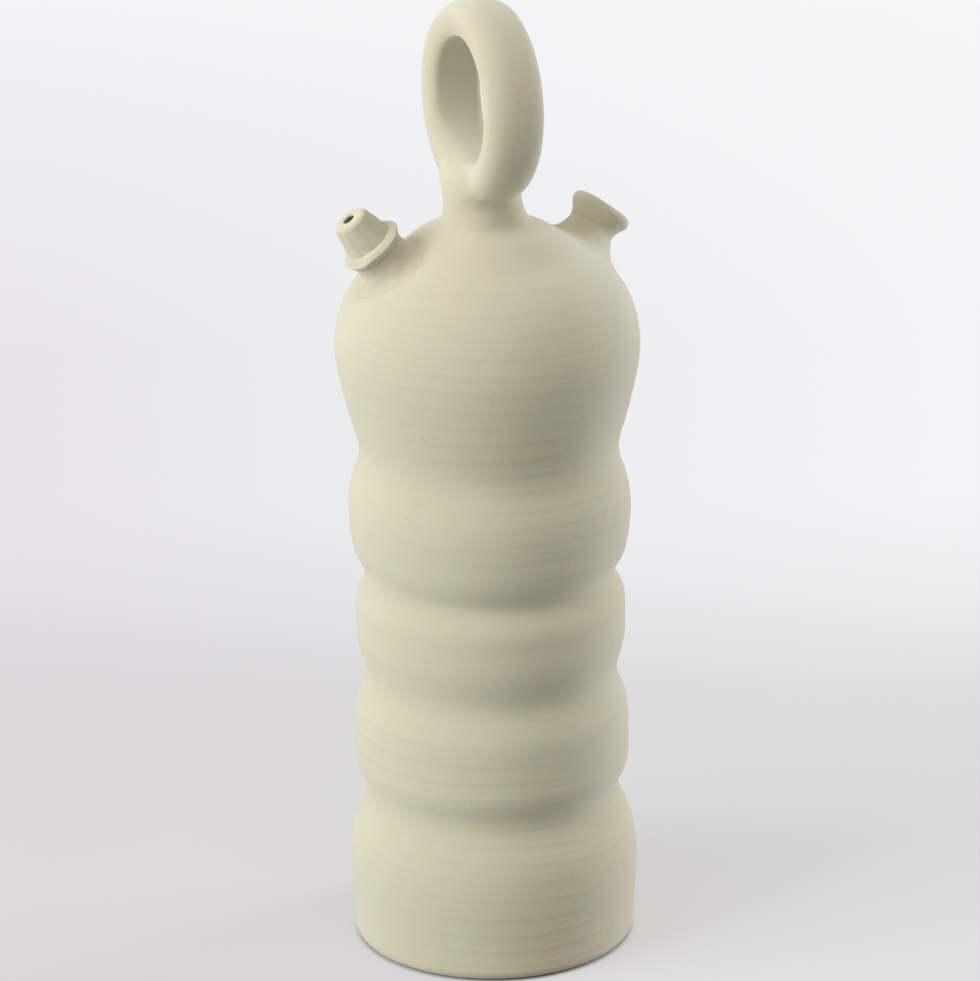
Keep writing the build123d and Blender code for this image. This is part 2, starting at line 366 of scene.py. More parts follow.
def quarter(start, end, spacing, start_flat):
    """Quarter ellipse between two points; start_flat says that it leaves level."""
    start, end = np.array(start, float), np.array(end, float)
    angle = np.linspace(0.0, math.pi / 2, QUARTER_STEPS)[:, None]
    rise, fall = np.sin(angle), 1.0 - np.cos(angle)
    shares = np.hstack([rise, fall] if start_flat else [fall, rise])
    return even(start + (end - start) * shares, spacing)


def inset(line, depth):
    """The line moved to its left by a depth."""
    run = np.gradient(line, axis=0)
    run /= np.linalg.norm(run, axis=1)[:, None]
    return line + depth * np.stack([-run[:, 1], run[:, 0]], axis=1)


def turned(line, turns, closed=False):
    """Points and faces of a line of radius and height turned about Z.

    The line runs anticlockwise round the solid; an open one starts and ends on the axis.
    """
    angles = np.arange(turns) * (2 * math.pi / turns)
    points, rows, faces = [], [], []
    for radius, height in line:
        first = len(points)
        if radius < 1e-7:
            points.append((0.0, 0.0, height))
            rows.append(np.full(turns, first))
            continue
        points.extend(zip(radius * np.cos(angles), radius * np.sin(angles),
                          np.full(turns, height)))
        rows.append(first + np.arange(turns))
    pairs = list(zip(rows[:-1], rows[1:]))
    if closed:
        pairs.append((rows[-1], rows[0]))
    for low, high in pairs:
        low_next, high_next = np.roll(low, -1), np.roll(high, -1)
        if low[0] == low[1]:
            faces.extend(np.stack([low, high_next, high], axis=1).tolist())
        elif high[0] == high[1]:
            faces.extend(np.stack([low, low_next, high], axis=1).tolist())
        else:
            faces.extend(np.stack([low, low_next, high_next, high], axis=1).tolist())
    return np.array(points), faces


def outline_field(line, reach):
    """Signed distance from a turned outline, looked up in a table of radius and height."""
    low = np.array([0.0, line[:, 1].min() - reach])
    high = np.array([line[:, 0].max() + reach, line[:, 1].max() + reach])
    counts = np.ceil((high - low) / TABLE_STEP).astype(int) + 1
    radii = low[0] + TABLE_STEP * np.arange(counts[0])
    heights = low[1] + TABLE_STEP * np.arange(counts[1])
    spots = np.stack(np.meshgrid(radii, heights, indexing="ij"), axis=-1)
    nearest = np.full(spots.shape[:2], FAR)
    inside = np.zeros(spots.shape[:2], bool)
    for start, end in zip(line[:-1], line[1:]):
        run = end - start
        share = np.clip((spots - start) @ run / max(run @ run, 1e-18), 0.0, 1.0)
        gap = spots - start - share[..., None] * run
        nearest = np.minimum(nearest, (gap ** 2).sum(-1))
        crosses = (start[1] > spots[..., 1]) != (end[1] > spots[..., 1])
        if start[1] != end[1]:
            at = start[0] + (spots[..., 1] - start[1]) * run[0] / run[1]
            inside ^= crosses & (spots[..., 0] < at)
    table = np.sqrt(nearest) * np.where(inside, -1.0, 1.0)

    def field(points):
        radius = np.hypot(points[..., 0], points[..., 1])
        u = np.clip((radius - low[0]) / TABLE_STEP, 0.0, counts[0] - 1.001)
        v = np.clip((points[..., 2] - low[1]) / TABLE_STEP, 0.0, counts[1] - 1.001)
        i, j = u.astype(int), v.astype(int)
        u, v = u - i, v - j
        return ((1 - u) * (1 - v) * table[i, j] + u * (1 - v) * table[i + 1, j]
                + (1 - u) * v * table[i, j + 1] + u * v * table[i + 1, j + 1])

    return field


def smooth_union(one, other, reach):
    """Distance from two solids joined by a soft fillet of the given reach."""
    near = np.clip(reach - np.abs(one - other), 0.0, None) / reach
    return np.minimum(one, other) - near ** 2 * reach / 4


def pressed_clay(body, piece, reach):
    """Field of the clay that fills the corner between two solids and feathers out on both.

    The reach is a function of the points.
    """

    def field(points):
        one, other = body(points), piece(points)
        joined = smooth_union(one, other, reach(points))
        lift = np.minimum(one, other) - joined
        return np.maximum.reduce([joined, FEATHER - lift, -BED - one, -BED - other])

    return field


def surface_net(field, low, high, step):
    """Points and faces of the closed surface where a field is zero."""
    axes = [np.arange(a, b + step, step) for a, b in zip(low, high)]
    spots = np.stack(np.meshgrid(*axes, indexing="ij"), axis=-1)
    values = field(spots)
    inside = values < 0
    cells = np.array(values.shape) - 1
    total = np.zeros((*cells, 3))
    count = np.zeros(cells)
    crossings = []
    for axis in range(3):
        here = [slice(None)] * 3
        there = [slice(None)] * 3
        here[axis], there[axis] = slice(0, -1), slice(1, None)
        here, there = tuple(here), tuple(there)
        crossed = inside[here] != inside[there]
        gap = np.where(crossed, values[here] - values[there], 1.0)
        share = np.where(crossed, values[here] / gap, 0.0)
        place = spots[here] + share[..., None] * (spots[there] - spots[here])
        place = place * crossed[..., None]
        side = [k for k in range(3) if k != axis]
        for a in (0, 1):
            for b in (0, 1):
                take = [slice(None)] * 3
                take[side[0]] = slice(a, a + cells[side[0]])
                take[side[1]] = slice(b, b + cells[side[1]])
                total += place[tuple(take)]
                count += crossed[tuple(take)]
        crossings.append((crossed, inside[here], side))
    used = count > 0
    number = np.full(cells, -1)
    number[used] = np.arange(used.sum())
    points = total[used] / count[used][:, None]
    faces = []
    for axis, (crossed, starts_inside, side) in enumerate(crossings):
        spot = np.argwhere(crossed)
        keep = (spot[:, side[0]] > 0) & (spot[:, side[1]] > 0)
        keep &= (spot[:, side[0]] < cells[side[0]]) & (spot[:, side[1]] < cells[side[1]])
        spot = spot[keep]
        back_a, back_b = np.zeros(3, int), np.zeros(3, int)
        back_a[side[0]], back_b[side[1]] = 1, 1
        loop = [spot - back_a - back_b, spot - back_b, spot, spot - back_a]
        quads = np.stack([number[tuple(corner.T)] for corner in loop], axis=1)
        flip = starts_inside[tuple(spot.T)] == (axis == 1)
        quads[flip] = quads[flip][:, ::-1]
        faces.extend(quads.tolist())
    return points, faces


def ripple(points, wavelength, seed, waves=14):
    """Smooth random values at points, about one in size, the same on every run."""
    chance = np.random.RandomState(seed)
    heading = chance.normal(size=(waves, 3))
    heading /= np.linalg.norm(heading, axis=1)[:, None]
    pace = (2 * math.pi / wavelength) * chance.uniform(0.6, 1.5, waves)
    phase = chance.uniform(0.0, 2 * math.pi, waves)
    value = np.zeros(points.shape[:-1])
    for direction, speed, shift in zip(heading, pace, phase):
        value += np.cos(points @ direction * speed + shift)
    return value * math.sqrt(2.0 / waves)


def by_hand(points):
    """Points moved as hand work moves them: a slow wobble and soft throwing ridges."""
    clay = bpy.context.scene.jar_clay
    height = points[:, 2]
    grounded = np.clip(height / FREE_HEIGHT, 0.0, 1.0)
    moved = points.copy()
    for axis, share in enumerate((1.0, 1.0, LIFT_SHARE)):
        slow = ripple(points, WOBBLE_WAVE, SEEDS["wobble"] + axis)
        moved[:, axis] += grounded * clay.wobble * share * 0.5 * slow
    radius = np.hypot(points[:, 0], points[:, 1])
    angle = np.arctan2(points[:, 1], points[:, 0])
    thrown = np.clip((radius - THROWN_FROM) / THROWN_OVER, 0.0, 1.0) * grounded
    around = np.stack([np.cos(angle) * 0.02, np.sin(angle) * 0.02, height], axis=1)
    waver = 0.8 * MM * ripple(around, 0.05, SEEDS["climb"])
    climb = height + 4.0 * MM * angle / (2 * math.pi) + waver
    ridges = (np.cos(climb * (2 * math.pi / RIDGE_SPACING)) * 0.6
              + np.cos(climb * (2 * math.pi / (4.0 * MM)) + 1.0) * 0.4)
    strength = 0.5 + 0.5 * np.clip(ripple(around, 0.06, SEEDS["strength"]), -1.0, 1.0)
    push = 1.0 + thrown * clay.ridge * ridges * strength / np.maximum(radius, 1.0 * MM)
    moved[:, 0] *= push
    moved[:, 1] *= push
    return moved


# Making and finishing pieces.


def make_piece(name, points, faces, material, nodes=(), normals=None):
    """Adds a closed smooth piece to the jar, with its own normals if they are given."""
    moved = by_hand(points)
    mesh = bpy.data.meshes.new(name)
    mesh.from_pydata(moved.tolist(), [], faces)
    mesh.polygons.foreach_set("use_smooth", [True] * len(mesh.polygons))
    mesh.set_sharp_from_angle(angle=SHARP_ANGLE)
    if normals is not None:
        turned_normals = carried_normals(points, moved, normals)
        mesh.normals_split_custom_set_from_vertices(turned_normals.tolist())
    mesh.materials.append(material)
    piece = bpy.data.objects.new(name, mesh)
    bpy.context.scene.collection.objects.link(piece)
    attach(piece, "root")
    if nodes:
        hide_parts(*nodes)
    return piece


def carried_normals(points, moved, normals):
    """Normals of a surface after its points have been moved by hand."""
    step = 0.2 * MM
    helper = np.where(np.abs(normals[:, 2:]) < 0.8, [[0.0, 0.0, 1.0]], [[1.0, 0.0, 0.0]])
    one = np.cross(helper, normals)
    one /= np.linalg.norm(one, axis=1)[:, None]
    other = np.cross(normals, one)
    result = np.cross(by_hand(points + step * one) - moved, by_hand(points + step * other) - moved)
    return result / np.linalg.norm(result, axis=1)[:, None]


def field_normals(field, points):
    """Directions in which a field grows fastest at points."""
    step = 0.3 * MM
    slopes = []
    for axis in range(3):
        shift = np.zeros(3)
        shift[axis] = step
        slopes.append(field(points + shift) - field(points - shift))
    slopes = np.stack(slopes, axis=-1)
    return slopes / np.maximum(np.linalg.norm(slopes, axis=-1), 1e-12)[..., None]


def lean_frame(mount, mount_out):
    """Matrix whose Z runs out along a mount's axis and whose origin lies on the dome."""
    axis = Vector(mount["axis"]).normalized()
    origin = Vector(mount["pos_m"]) - axis * mount_out
    side = Vector((0.0, 0.0, 1.0)).cross(axis).normalized()
    turn = Matrix((side, axis.cross(side), axis)).transposed()
    return Matrix.Translation(origin) @ turn.to_4x4()


def placed(points, matrix):
    """Points carried by a matrix."""
    matrix = np.array(matrix)
    return points @ matrix[:3, :3].T + matrix[:3, 3]


def placed_field(field, matrix):
    """The field of a solid that a matrix carries."""
    back = np.array(matrix.inverted())
    return lambda points: field(points @ back[:3, :3].T + back[:3, 3])


def press_clay(name, body, piece, reach, low, high, material, nodes=()):
    """Adds the clay that is pressed into the corner between the body and a piece."""
    field = pressed_clay(body, piece, reach)
    points, faces = surface_net(field, low, high, NET_STEP)
    for _ in range(3):
        points = points - field(points)[:, None] * field_normals(field, points) * 0.8
    joined = lambda spots: smooth_union(body(spots), piece(spots), reach(spots))
    return make_piece(name, points, faces, material, nodes, field_normals(joined, points))


def sided_reach(name, matrix, back, front):
    """Reach of a joint's smoothed clay, which changes from back to front across a frame."""
    heading, span, unevenness = JOINTS[name]
    heading = np.array(heading)
    inverse = np.array(matrix.inverted())

    def reach(points):
        along = points @ (heading @ inverse[:3, :3]) + heading @ inverse[:3, 3]
        share = eased((along - span[0]) / (span[1] - span[0]))
        size = back + (front - back) * share
        uneven = unevenness[0] + (unevenness[1] - unevenness[0]) * share * share
        traces = np.clip(ripple(points, FINGER_WAVE, SEEDS[name]), -MOST_RIPPLE, MOST_RIPPLE)
        return size * (1.0 + uneven * traces)

    return reach


# Outlines of the thrown pieces.


def flank(groove, crest, shares):
    """Points at even steps from a groove to a crest, swollen by shares of the depth."""
    steps = len(shares) + 1
    return [(groove[0] + (crest[0] - groove[0]) * share,
             groove[1] + (crest[1] - groove[1]) * (step + 1) / steps)
            for step, share in enumerate(shares)]


def side_line(sizes, spacing):
    """Outer line of the side, from the rounded foot up to the shoulder."""
    crests = list(zip(sizes.crest_radii, sizes.crest_heights))
    grooves = list(zip(sizes.groove_radii, sizes.groove_heights))
    points = [(sizes.base_radius, sizes.foot_round), crests[0],
              *reversed(flank(grooves[0], crests[0], BASE_FLANK_SHARES)), grooves[0]]
    for i, groove in enumerate(grooves):
        points += [*flank(groove, crests[i + 1], UNDER_FLANK_SHARES[i]), crests[i + 1]]
        if i + 1 < len(grooves):
            points += [*reversed(flank(grooves[i + 1], crests[i + 1], OVER_FLANK_SHARES[i])),
                       grooves[i + 1]]
    return smooth_line(points, spacing, (0, 1), (0, 1))


def dome_line(sizes, spacing):
    """Outer line of the dome, from the shoulder in to the neck."""
    shoulder_radius, shoulder_height = sizes.crest_radii[4], sizes.crest_heights[4]
    radius_span = shoulder_radius - sizes.neck_radius
    height_span = sizes.neck_height - shoulder_height
    points = [(shoulder_radius, shoulder_height)]
    for radius_share, height_share in DOME_SHARES:
        points.append((sizes.neck_radius + radius_span * radius_share,
                       shoulder_height + height_span * height_share))
    points.append((sizes.neck_radius, sizes.neck_height))
    return smooth_line(points, spacing, (0, 1), (0, 1))


def cap_line(sizes, spacing):
    """From the neck's narrowest place up and over its rounded top to the axis."""
    edge = (sizes.neck_radius * CAP_SHARE, sizes.cap_height)
    return np.vstack([quarter((sizes.neck_radius, sizes.neck_height), edge, spacing, False),
                      even(np.array([edge, (0.0, sizes.cap_height)]), spacing)[1:]])


def seam_split(line, height):
    """The parts of a rising line below and above a height, which meet there."""
    radius = np.interp(height, line[:, 1], line[:, 0])
    low = line[line[:, 1] < height - SEAM_GAP]
    high = line[line[:, 1] > height + SEAM_GAP]
    return np.vstack([low, [(radius, height)]]), np.vstack([[(radius, height)], high])


def inner_lines(sizes):
    """Inner wall below and above the seam, both rising."""
    side = inset(side_line(sizes, ROW_SPACING), sizes.wall)
    dome = inset(dome_line(sizes, ROW_SPACING), sizes.wall)
    seam = sizes.groove_heights[3]
    low, high = seam_split(side[side[:, 1] > sizes.foot_round + INNER_START], seam)
    dome = dome[dome[:, 0] > sizes.neck_radius + sizes.wall]
    return even(low, HIDDEN_SPACING), even(np.vstack([high, dome]), HIDDEN_SPACING)


def lower_line(sizes):
    """Closed outline of the lower thrown section."""
    rim = quarter((sizes.base_radius - sizes.foot_round, 0.0),
                  (sizes.base_radius, sizes.foot_round), ROW_SPACING, True)
    foot = even(np.array([(0.0, 0.0), rim[0]]), HIDDEN_SPACING)
    outer, _ = seam_split(side_line(sizes, ROW_SPACING), sizes.groove_heights[3])
    inner, _ = inner_lines(sizes)
    corner = quarter(inner[0], (inner[0][0] - FLOOR_CORNER, sizes.floor_thickness),
                     HIDDEN_SPACING, False)
    floor = even(np.array([corner[-1], (0.0, sizes.floor_thickness)]), HIDDEN_SPACING)
    return np.vstack([foot[:-1], rim[:-1], outer, inner[::-1], corner[1:], floor[1:]])


def upper_line(sizes):
    """Closed outline of the upper thrown section, up to the capped neck."""
    _, inner = inner_lines(sizes)
    _, outer = seam_split(side_line(sizes, ROW_SPACING), sizes.groove_heights[3])
    ceiling = even(np.array([(0.0, inner[-1][1]), inner[-1]]), HIDDEN_SPACING)
    return np.vstack([ceiling[:-1], inner[::-1], outer, dome_line(sizes, ROW_SPACING)[1:],
                      cap_line(sizes, ROW_SPACING)[1:]])


def neck_shift(sizes, height):
    """Shift along X of the leaning neck at each height."""
    return -sizes.neck_lean * eased((height - LEAN_START) / (sizes.neck_height - LEAN_START))


def dome_field(sizes):
    """Field of the dome and the capped neck."""
    line = np.vstack([dome_line(sizes, ROW_SPACING), cap_line(sizes, ROW_SPACING)[1:]])
    upright = outline_field(line[line[:, 1] > sizes.crest_heights[4] + FIELD_START], 12.0 * MM)

    def field(points):
        moved = np.array(points)
        moved[..., 0] -= neck_shift(sizes, moved[..., 2])
        return upright(moved)

    return field


def closed_outline(outer, corners):
    """An outer line closed through corners, without repeating its first point."""
    corners = np.vstack([outer[-1:], corners, outer[:1]])
    sides = [even(corners[i:i + 2], ROW_SPACING)[1:] for i in range(len(corners) - 1)]
    return np.vstack([outer, *sides[:-1], sides[-1][:-1]])


def mouth_line(sizes, foot_depth):
    """Closed outline of the filling mouth, its foot sunk in the dome."""
    waist = (sizes.waist_radius, sizes.waist_height)
    lip = (sizes.lip_radius, sizes.lip_height)
    throat = (sizes.bore_radius, sizes.waist_height)
    flare = [(waist[0] + (lip[0] - waist[0]) * radius_share,
              waist[1] + (lip[1] - waist[1]) * height_share)
             for radius_share, height_share in MOUTH_FLARE_SHARES]
    outer = smooth_line([waist, *flare, lip, (sizes.rim_radius, sizes.rise),
                         (sizes.rim_bore_radius, sizes.rise - sizes.rim_bore_drop), throat],
                        0.4 * MM, (0.3, 0.95), (0, -1))
    return closed_outline(outer, [(sizes.bore_radius, -foot_depth),
                                  (sizes.waist_radius, -foot_depth)])


def collar_line(sizes, foot_depth):
    """Closed outline of the spout's neck and thick collar."""
    low, edge = sizes.foot_height, sizes.foot_height + sizes.edge_height
    top = sizes.foot_height + sizes.collar_thickness
    dish = top - sizes.dish_depth
    fillet, edge_reach = 0.5 * MM, 0.7 * MM
    under_bevel, over_bevel = 0.3 * MM, 0.5 * MM
    dish_reach, dish_fall = 1.2 * MM, 0.35 * MM
    outer = smooth_line([(sizes.foot_radius, low - fillet), (sizes.foot_radius + fillet, low),
                         (sizes.collar_radius - under_bevel, edge - edge_reach),
                         (sizes.collar_radius, edge),
                         (sizes.collar_radius - over_bevel, edge + edge_reach),
                         (sizes.cone_base_radius + dish_reach, top - dish_fall),
                         (sizes.cone_base_radius, dish)], 0.3 * MM, (0, 1), (-1, 0))
    return closed_outline(outer, [(sizes.seat_radius, dish), (sizes.seat_radius, -foot_depth),
                                  (sizes.foot_radius, -foot_depth)])


def cone_line(sizes):
    """Closed outline of the pierced cone, its hollow and its spigot."""
    top = sizes.foot_height + sizes.collar_thickness
    dish, tip = top - sizes.dish_depth, top + sizes.cone_rise
    root_reach, root_rise, rim_round, spigot_wall = 0.3 * MM, 0.4 * MM, 0.2 * MM, 1.0 * MM
    root = quarter((sizes.cone_base_radius + root_reach, dish),
                   (sizes.cone_base_radius, dish + root_rise), 0.15 * MM, True)
    side = even(np.array([root[-1], (sizes.cone_tip_radius, tip - sizes.tip_round)]), 0.4 * MM)
    shoulder = quarter(side[-1], (sizes.cone_tip_radius - sizes.tip_round, tip), 0.25 * MM, False)
    ease = quarter((sizes.bore_radius + rim_round, tip), (sizes.bore_radius, tip - rim_round),
                   0.1 * MM, True)
    deep, hollow = dish - sizes.seat_depth, sizes.seat_radius - spigot_wall
    return closed_outline(np.vstack([root[:-1], side[:-1], shoulder, ease]),
                          [(sizes.bore_radius, tip - sizes.bore_rim),
                           (hollow, tip - 2.0 * sizes.bore_rim), (hollow, deep),
                           (sizes.seat_radius, deep), (sizes.seat_radius, dish)])


def pared(points, cuts, depth, seed):
    """Points of a turned cone with the shallow flats that a knife leaves down its side."""
    chance = np.random.RandomState(seed)
    angles = (np.arange(cuts) + chance.uniform(-0.3, 0.3, cuts)) * (2 * math.pi / cuts)
    depths = depth * chance.uniform(0.4, 1.0, cuts)
    radius = np.hypot(points[:, 0], points[:, 1])
    angle = np.arctan2(points[:, 1], points[:, 0])
    allowed = np.full(len(points), FAR)
    outermost = radius.max()
    for heading, cut in zip(angles, depths):
        across = np.cos(angle - heading)
        flat = (radius * (1.0 - cut / outermost)) / np.where(across > 0.5, across, 1e-3)
        allowed = np.minimum(allowed, flat)
    share = np.where(radius > PARED_FROM * outermost, np.minimum(1.0, allowed / radius), 1.0)
    return points * np.stack([share, share, np.ones_like(share)], axis=1)


def fingered_shape(points, amount, wavelength, seed):
    """Points of a thrown piece that fingers have left out of true, but not at its foot."""
    free = np.clip((points[:, 2:] - FINGERED_FROM) / FINGERED_OVER, 0.0, 1.0)
    push = np.stack([ripple(points, wavelength, seed + axis) for axis in range(3)], axis=1)
    return points + free * amount * push


# The ring handle.


def ring_frame(sizes):
    """Matrix of the ring: X along its plane, Y up and Z across it."""
    turn = sizes.turn
    along = Vector((math.cos(turn), math.sin(turn), 0.0))
    up = Vector((0.0, 0.0, 1.0))
    axes = Matrix((along, up, along.cross(up))).transposed()
    return Matrix.Translation((sizes.offset, 0.0, RING_CENTRE_HEIGHT)) @ axes.to_4x4()


def ring_half_section(sizes, flat_share, corner_power=1.0):
    """Half of the ring's section, as distance across its plane and out from its middle line.

    A corner power under 1 makes the edge of the flat inner face crisper.
    """
    half_thick, half_wide = sizes.thickness / 2, sizes.width / 2
    half_flat = half_wide * flat_share
    along = np.linspace(0.0, half_flat, 10)[:-1]
    flat = np.stack([along, np.full(9, -half_thick)], axis=1)
    turn = np.linspace(0.0, math.pi / 2, 20)
    corner = np.stack([half_flat + (half_wide - half_flat) * np.sin(turn) ** corner_power,
                       -half_thick * np.cos(turn) ** corner_power], axis=1)
    outside = np.stack([half_wide * np.cos(turn) ** OUTSIDE_POWER,
                        half_thick * np.sin(turn) ** OUTSIDE_POWER], axis=1)
    return np.vstack([flat, corner, outside[1:]])


def smeared_share(turn):
    """How far the far limb's foot is smeared round, from 0 above to 1 at the neck."""
    below = eased((-np.sin(turn) - SMEAR_BELOW) / SMEAR_OVER)
    return below * eased((SMEAR_BESIDE - np.cos(turn)) / SMEAR_BESIDE)


def finger_rest(turn, sizes):
    """Extra clay smoothed into the bottom of the ring, most of it on the far limb's side."""
    away = np.abs((turn - REST_MIDDLE + math.pi) % (2 * math.pi) - math.pi)
    share = np.clip(away / REST_HALF_REACH, 0.0, 1.0)
    return sizes.rest_thickness * np.cos(share * math.pi / 2) ** 2


def ring_mesh(sizes, rings=320):
    """Points and faces of the ring, in its own frame."""
    across, tall = sizes.half_span, RING_REACH - sizes.thickness / 2
    t = np.linspace(0.0, 2 * math.pi, rings, endpoint=False)[:, None]
    sections = []
    for smeared, far in zip(smeared_share(t[:, 0]), eased(-2.0 * np.cos(t[:, 0]))):
        flat_share = sizes.flat_share + (sizes.smeared_flat_share - sizes.flat_share) * smeared
        left = ring_half_section(sizes, flat_share, 1.0 - FAR_CRISPNESS * far)
        right = ring_half_section(sizes, flat_share)
        sections.append(np.vstack([left[::-1], right[1:-1] * (-1.0, 1.0)]))
    beside, out = np.moveaxis(np.array(sections), 2, 0)
    out = np.where(out < 0.0, out * (1.0 + finger_rest(t, sizes) / (sizes.thickness / 2)), out)
    sides = beside.shape[1]
    tall = np.where(np.sin(t) > 0.0, tall - sizes.crown_drop, tall)
    nx, ny = tall * np.cos(t), across * np.sin(t)
    length = np.hypot(nx, ny)
    points = np.stack([across * np.cos(t) + nx / length * out,
                       tall * np.sin(t) + ny / length * out, beside], axis=-1)
    grid = np.arange(rings * sides).reshape(rings, sides)
    after, next_side = np.roll(grid, -1, axis=0), np.roll(grid, -1, axis=1)
    both = np.roll(after, -1, axis=1)
    faces = np.stack([grid, after, both, next_side], axis=-1).reshape(-1, 4)
    return points.reshape(-1, 3), faces.tolist()


def ring_field(sizes):
    """Field of the ring, in its own frame."""
    across, tall = sizes.half_span, RING_REACH - sizes.thickness / 2
    plain = outline_field(ring_half_section(sizes, sizes.flat_share), 14.0 * MM)
    smeared = outline_field(ring_half_section(sizes, sizes.smeared_flat_share), 14.0 * MM)

    def field(points):
        x, y = points[..., 0], points[..., 1]
        t = np.arctan2(y * across, x * tall)
        for _ in range(4):
            dx, dy = across * np.cos(t) - x, tall * np.sin(t) - y
            tx, ty = -across * np.sin(t), tall * np.cos(t)
            slope = tx * tx + ty * ty - dx * across * np.cos(t) - dy * tall * np.sin(t)
            t = t - (dx * tx + dy * ty) / np.where(np.abs(slope) < 1e-6, 1e-6, slope)
        nx, ny = tall * np.cos(t), across * np.sin(t)
        length = np.hypot(nx, ny)
        out = ((x - across * np.cos(t)) * nx + (y - tall * np.sin(t)) * ny) / length
        out = np.where(out < 0.0, out / (1.0 + finger_rest(t, sizes) / (sizes.thickness / 2)), out)
        spots = np.stack([points[..., 2], np.zeros_like(out), out], axis=-1)
        share = smeared_share(t)
        return plain(spots) * (1.0 - share) + smeared(spots) * share

    return field


# Shader nodes. Each group gives masks or heights only.


def add(tree, kind, place, values=None, **settings):
    """Node of a kind at a place, with plain settings; its values are numbers or sockets."""
    made = tree.nodes.new(kind)
    made.location = place
    for key, value in settings.items():
        setattr(made, key, value)
    for key, value in (values or {}).items():
        if isinstance(value, bpy.types.NodeSocket):
            tree.links.new(value, made.inputs[key])
        else:
            made.inputs[key].default_value = value
    return made


def maths(tree, operation, place, *values):
    """Result of a maths node."""
    return add(tree, "ShaderNodeMath", place, dict(enumerate(values)),
               operation=operation).outputs[0]


def mapped(tree, place, value, start, end, low=0.0, high=1.0, **settings):
    """Result of a map range node that runs from low at start to high at end."""
    return add(tree, "ShaderNodeMapRange", place,
               {"Value": value, "From Min": start, "From Max": end, "To Min": low,
                "To Max": high}, **settings).outputs[0]


def mixed(tree, place, factor, one, other):
    """Mix of two colours."""
    values = {"Factor": factor}
    for key, colour in (("A", one), ("B", other)):
        values[key] = colour if isinstance(colour, bpy.types.NodeSocket) else (*colour, 1.0)
    return add(tree, "ShaderNodeMix", place, values, data_type="RGBA").outputs["Result"]


def noise(tree, place, position, scale, detail, roughness=0.5):
    """Noise at a position."""
    return add(tree, "ShaderNodeTexNoise", place,
               {"Vector": position, "Scale": scale, "Detail": detail,
                "Roughness": roughness}).outputs["Fac"]


def cleared_tree(owner):
    """Empty node tree of a material or world."""
    owner.use_nodes = True
    owner.node_tree.nodes.clear()
    return owner.node_tree


def group_node(tree, place, position, name, labels, build):
    """Outputs of a shader group of a position; build gives the socket for each label once."""
    group = bpy.data.node_groups.get(name)
    if group is None:
        group = bpy.data.node_groups.new(name, "ShaderNodeTree")
        group.interface.new_socket("Position", in_out="INPUT", socket_type="NodeSocketVector")
        for label in labels:
            group.interface.new_socket(label, in_out="OUTPUT", socket_type="NodeSocketFloat")
        source = add(group, "NodeGroupInput", (-900, 0))
        results = build(group, source.outputs[0])
        add(group, "NodeGroupOutput", (900, 0), dict(zip(labels, results)))
    return add(tree, "ShaderNodeGroup", place, {0: position}, node_tree=group).outputs


def ring_space(tree, position, place, around, upward):
    """Position as a point on a circle and a height, so that noise runs in lines round Z."""
    x, y = place
    split = add(tree, "ShaderNodeSeparateXYZ", (x, y), {0: position}).outputs
    flat = add(tree, "ShaderNodeCombineXYZ", (x + 160, y), {"X": split["X"], "Y": split["Y"]})
    unit = add(tree, "ShaderNodeVectorMath", (x + 320, y), {0: flat.outputs[0]},
               operation="NORMALIZE")
    grown = add(tree, "ShaderNodeVectorMath", (x + 480, y),
                {0: unit.outputs[0], "Scale": around}, operation="SCALE")
    height = maths(tree, "MULTIPLY", (x + 160, y - 160), split["Z"], upward)
    tall = add(tree, "ShaderNodeCombineXYZ", (x + 320, y - 160), {"Z": height})
    return add(tree, "ShaderNodeVectorMath", (x + 640, y),
               {0: grown.outputs[0], 1: tall.outputs[0]}, operation="ADD").outputs[0]


def throwing_lines(group, position):
    """Height of the fine lines and soft ridges that run round a piece's axis, and a mask of their
    finest scratches, where painted shade darkens the colour.
    """
    fine, broad, mask = (
        noise(group, (0, y - 200), ring_space(group, position, (-800, y), around, upward),
              1.0, detail, roughness)
        for y, around, upward, detail, roughness in (
            (400, 3.0, 1900.0, 4.0, 0.6), (0, 1.6, 420.0, 3.0, 0.55), (-500, 1.2, 60.0, 2.0, 0.5)))
    patch = mapped(group, (200, -400), mask, 0.42, 0.62, 0.35)
    scratch = mapped(group, (200, 300), fine, 0.60, 0.74)
    height = maths(group, "MULTIPLY_ADD", (400, 100), fine, 0.35,
                   maths(group, "MULTIPLY", (200, 50), broad, 0.65))
    return (maths(group, "MULTIPLY", (600, 0), height, patch),
            maths(group, "MULTIPLY", (400, 300), scratch, patch))


def clay_grain(group, position):
    """Height of the gritty grain and the small open pits, and a mask of the pits, which are sunk
    in the relief and darkened with painted shade.
    """
    grit = noise(group, (-300, 200), position, 1500.0, 4.0, 0.65)
    lumps = noise(group, (-300, -50), position, 260.0, 3.0)
    cells = add(group, "ShaderNodeTexVoronoi", (-300, -300),
                {"Vector": position, "Scale": 300.0, "Randomness": 1.0})
    dot = mapped(group, (0, -300), cells.outputs["Distance"], 0.16, 0.05)
    rare = mapped(group, (0, -550), noise(group, (-300, -550), position, 110.0, 1.0), 0.63, 0.71)
    hole = maths(group, "MULTIPLY", (200, -400), dot, rare)
    height = maths(group, "MULTIPLY_ADD", (200, 100), lumps, 0.6,
                   maths(group, "MULTIPLY", (0, 100), grit, 0.4))
    return maths(group, "MULTIPLY_ADD", (500, 0), hole, -0.8, height), hole


def clay_mottle(group, position):
    """Mask of the broad patches where the fired clay is warmer."""
    broad = noise(group, (-300, 100), position, 14.0, 4.0, 0.6)
    close = noise(group, (-300, -200), position, 90.0, 3.0, 0.6)
    total = maths(group, "MULTIPLY_ADD", (0, 0), close, 0.45,
                  maths(group, "MULTIPLY", (-100, 100), broad, 0.55))
    return [mapped(group, (200, 0), total, 0.40, 0.60)]


